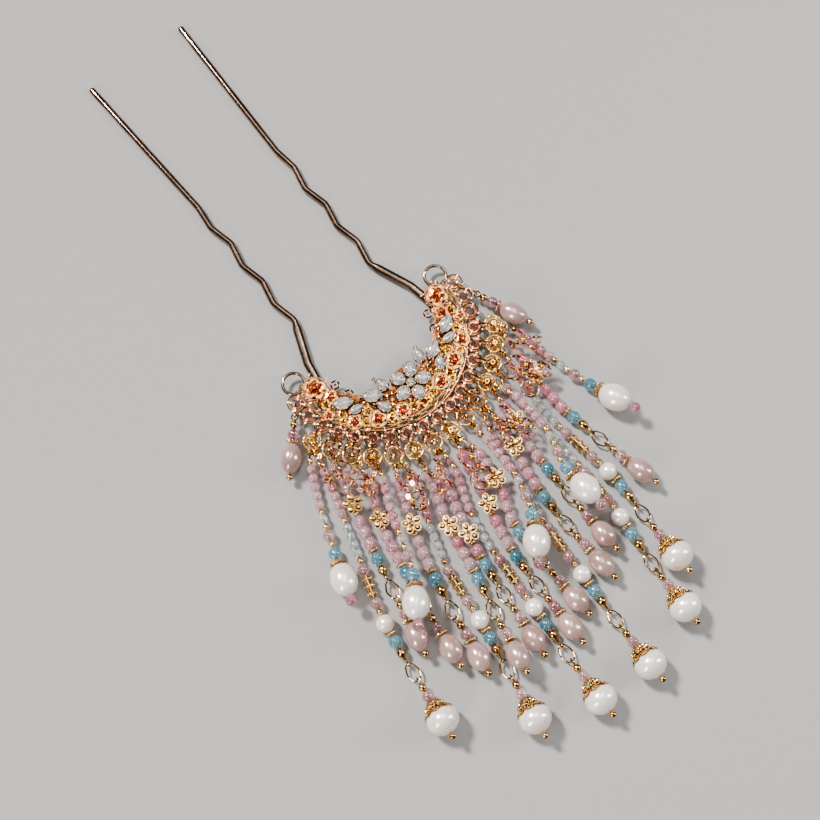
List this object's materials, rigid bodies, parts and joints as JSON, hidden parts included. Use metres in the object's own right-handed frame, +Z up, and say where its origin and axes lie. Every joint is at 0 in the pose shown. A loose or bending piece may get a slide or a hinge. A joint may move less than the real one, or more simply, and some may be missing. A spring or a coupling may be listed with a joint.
{
  "type": "hairpin",
  "caption": "Two-pronged crimped hairpin with a pierced crescent head of stones and flowers, and a fringe of bead strings that end in pearls.",
  "frame": {"origin": "centre of the outline in plan, on the surface that the pin lies on", "axes": "+Y toward the prong tips, +X to the right with the prongs away from the viewer, +Z up from the surface"},
  "size_m": [0.0856, 0.2018, 0.0105],
  "materials": {
    "bronze": "polished dark rose bronze",
    "rose_gold": "polished rose gold plating",
    "clear_stone": "cut and polished",
    "champagne_gold": "polished champagne gold plating",
    "yellow_gold": "polished yellow gold plating",
    "white_pearl": "pearl lustre on glass",
    "mauve_pearl": "mauve pearl lustre on glass",
    "rose_glass": "milky rose glass, faceted"
  },
  "bodies": {
    "root": {"pin": "bronze", "crown": "rose_gold", "stones": "clear_stone", "jump_rings": "champagne_gold", "cages": "yellow_gold", "drop_left": "mauve_pearl", "drop_right": "mauve_pearl", "strand_o1": "white_pearl", "strand_o2": "white_pearl", "strand_o3": "white_pearl", "strand_o4": "white_pearl", "strand_o5": "white_pearl", "strand_r1": "white_pearl", "strand_r2": "white_pearl", "strand_r3": "white_pearl", "strand_r4": "white_pearl", "strand_r5": "white_pearl", "strand_r6": "white_pearl", "strand_m1": "mauve_pearl", "strand_m2": "mauve_pearl", "strand_m3": "mauve_pearl", "strand_m4": "mauve_pearl", "strand_m5": "mauve_pearl", "strand_m6": "mauve_pearl", "strand_m7": "mauve_pearl", "strand_m8": "mauve_pearl", "strand_m9": "mauve_pearl", "strand_m10": "mauve_pearl", "thread_o1": "rose_glass", "thread_o2": "rose_glass", "thread_o3": "rose_glass", "thread_o4": "rose_glass", "thread_o5": "rose_glass", "thread_r1": "rose_glass", "thread_r2": "rose_glass", "thread_r3": "rose_glass", "thread_r4": "rose_glass", "thread_r5": "rose_glass", "thread_r6": "rose_glass", "thread_m1": "rose_glass", "thread_m2": "rose_glass", "thread_m3": "rose_glass", "thread_m4": "rose_glass", "thread_m5": "rose_glass", "thread_m6": "rose_glass", "thread_m7": "rose_glass", "thread_m8": "rose_glass", "thread_m9": "rose_glass", "thread_m10": "rose_glass"}
  },
  "joints": []
}
